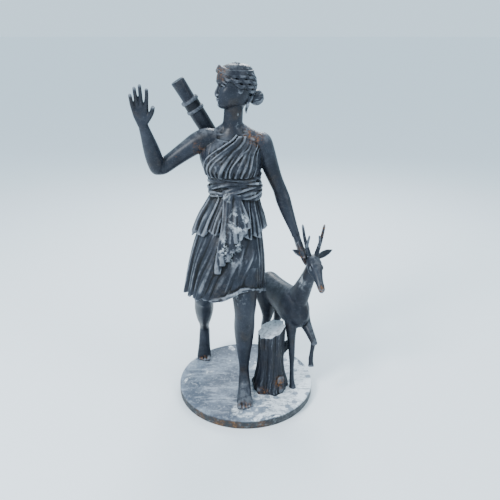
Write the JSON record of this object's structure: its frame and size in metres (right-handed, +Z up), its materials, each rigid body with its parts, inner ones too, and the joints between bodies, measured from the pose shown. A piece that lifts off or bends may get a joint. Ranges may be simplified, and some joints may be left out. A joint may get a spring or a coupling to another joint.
{
  "type": "cast iron garden statue",
  "caption": "Cast iron garden statue of a walking huntress in a pleated tunic with a quiver, beside a young stag and a tree stump, on a round base plate.",
  "frame": {"origin": "centre of the base plate's underside", "axes": "+Z up, the figure walks towards -Y and +X is her left"},
  "size_m": [0.8055, 0.635, 1.5003],
  "materials": {
    "weathered_plate": "dark grey paint bleached by weather, with chalky white patches and rust at the rim",
    "painted_iron": "blue-black paint, dusty grey on the ridges, rust where it has worn through",
    "quiver_iron": "smooth blue-black paint, a little worn at the collars",
    "stag_iron": "blue-black paint with rust at the muzzle and the antlers",
    "bark_iron": "near-black paint over carved bark, white on the sawn top"
  },
  "bodies": {
    "root": {"base_plate": "weathered_plate", "huntress": "painted_iron", "quiver": "quiver_iron", "stag": "stag_iron", "tree_stump": "bark_iron"}
  },
  "joints": []
}
